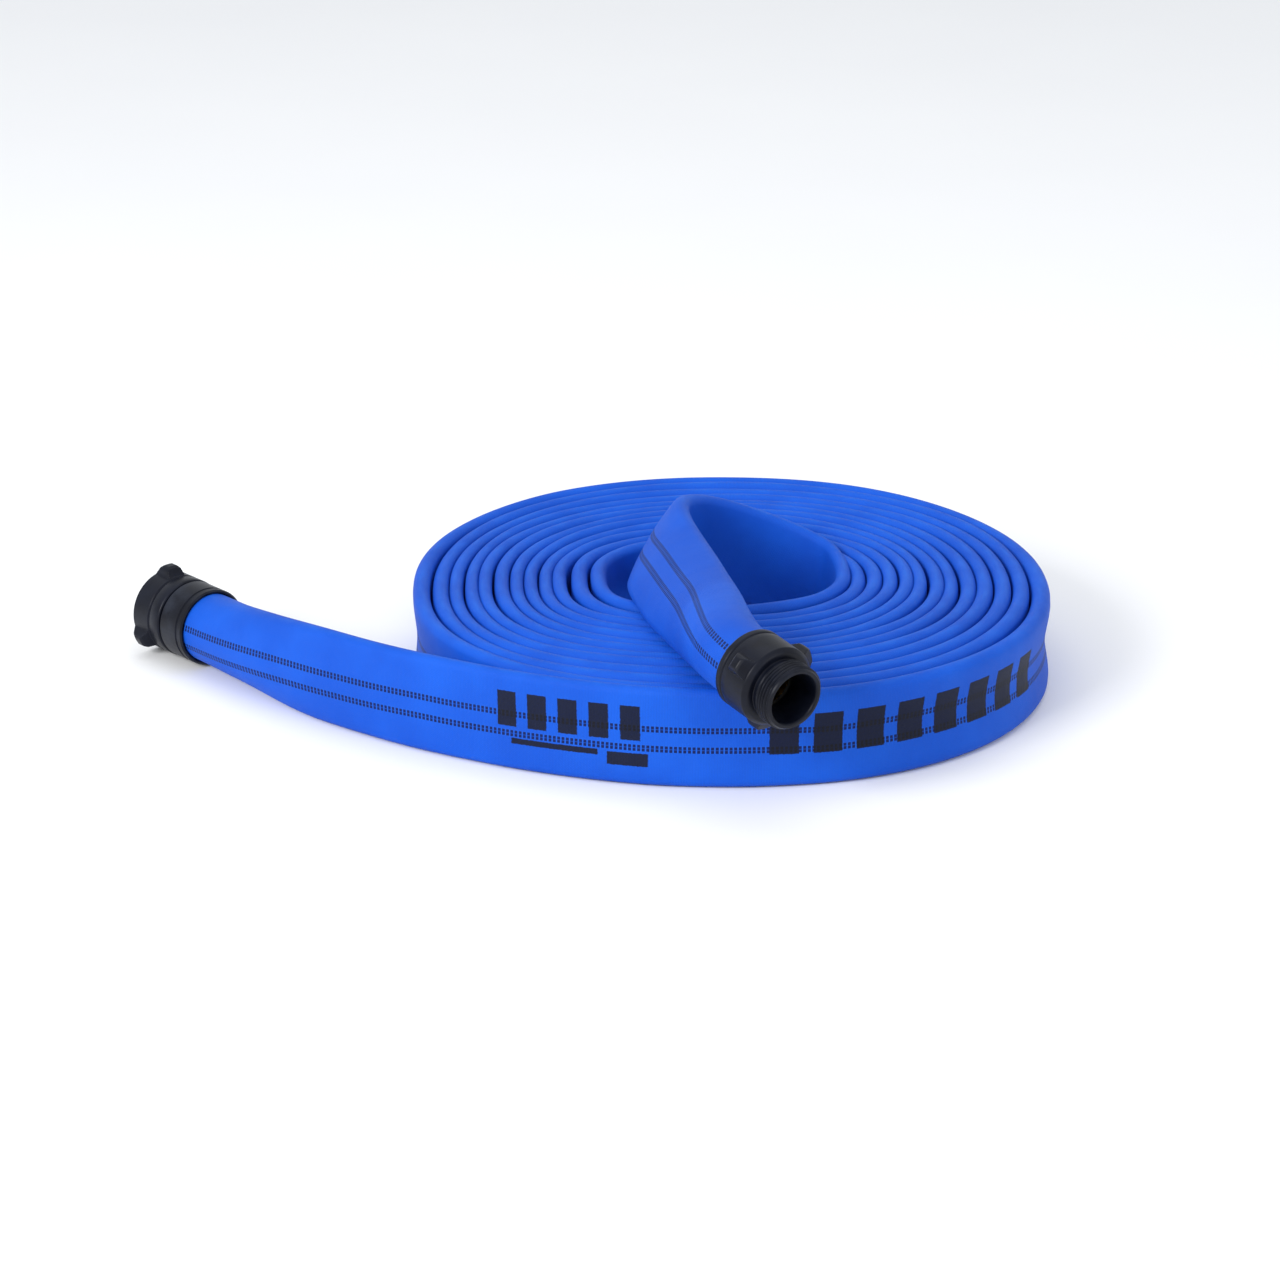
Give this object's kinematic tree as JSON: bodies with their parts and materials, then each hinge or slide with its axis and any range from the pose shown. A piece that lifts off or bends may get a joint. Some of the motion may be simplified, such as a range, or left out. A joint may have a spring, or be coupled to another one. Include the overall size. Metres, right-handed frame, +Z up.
{
  "type": "rolled fire hose",
  "caption": "Lay-flat double-jacket attack fire hose rolled on edge, male coupling over the top and female swivel coupling at the side, both with rocker lugs.",
  "frame": {"origin": "on the plane that the roll lies on, under the centre of the whole object's bounding box", "axes": "+Z up, along the roll's axis; +X the longest extent, from the female coupling towards the roll; -Y the side on which the male coupling overhangs the roll"},
  "size_m": [0.7297, 0.5894, 0.1393],
  "materials": {
    "outer_jacket": "woven polyester, coated",
    "inner_jacket": "woven polyester, undyed",
    "liner_rubber": "smooth",
    "anodised_black": "hard anodised, satin",
    "ring_brass": "drawn",
    "gasket_rubber": "moulded",
    "ball_steel": "polished",
    "plug_steel": "plain"
  },
  "bodies": {
    "hose": {"hose_roll": "outer_jacket", "outer_end_outer_jacket": "outer_jacket", "inner_end_outer_jacket": "outer_jacket", "outer_end_inner_jacket": "inner_jacket", "inner_end_inner_jacket": "inner_jacket", "outer_end_liner": "liner_rubber", "inner_end_liner": "liner_rubber", "male_coupling_body": "anodised_black", "female_bowl": "anodised_black", "male_expansion_ring": "ring_brass", "female_expansion_ring": "ring_brass", "male_tail_gasket": "gasket_rubber", "female_tail_gasket": "gasket_rubber", "swivel_balls": "ball_steel"},
    "swivel": {"swivel_nut": "anodised_black", "ball_race_plug": "plug_steel", "swivel_gasket": "gasket_rubber"}
  },
  "joints": [
    {"name": "swivel_turn", "type": "hinge", "parent": "hose", "child": "swivel", "pos_m": [-0.32358, 0.08119, 0.0318], "axis": [-0.6618, 0.7497, 0], "continuous": true}
  ]
}
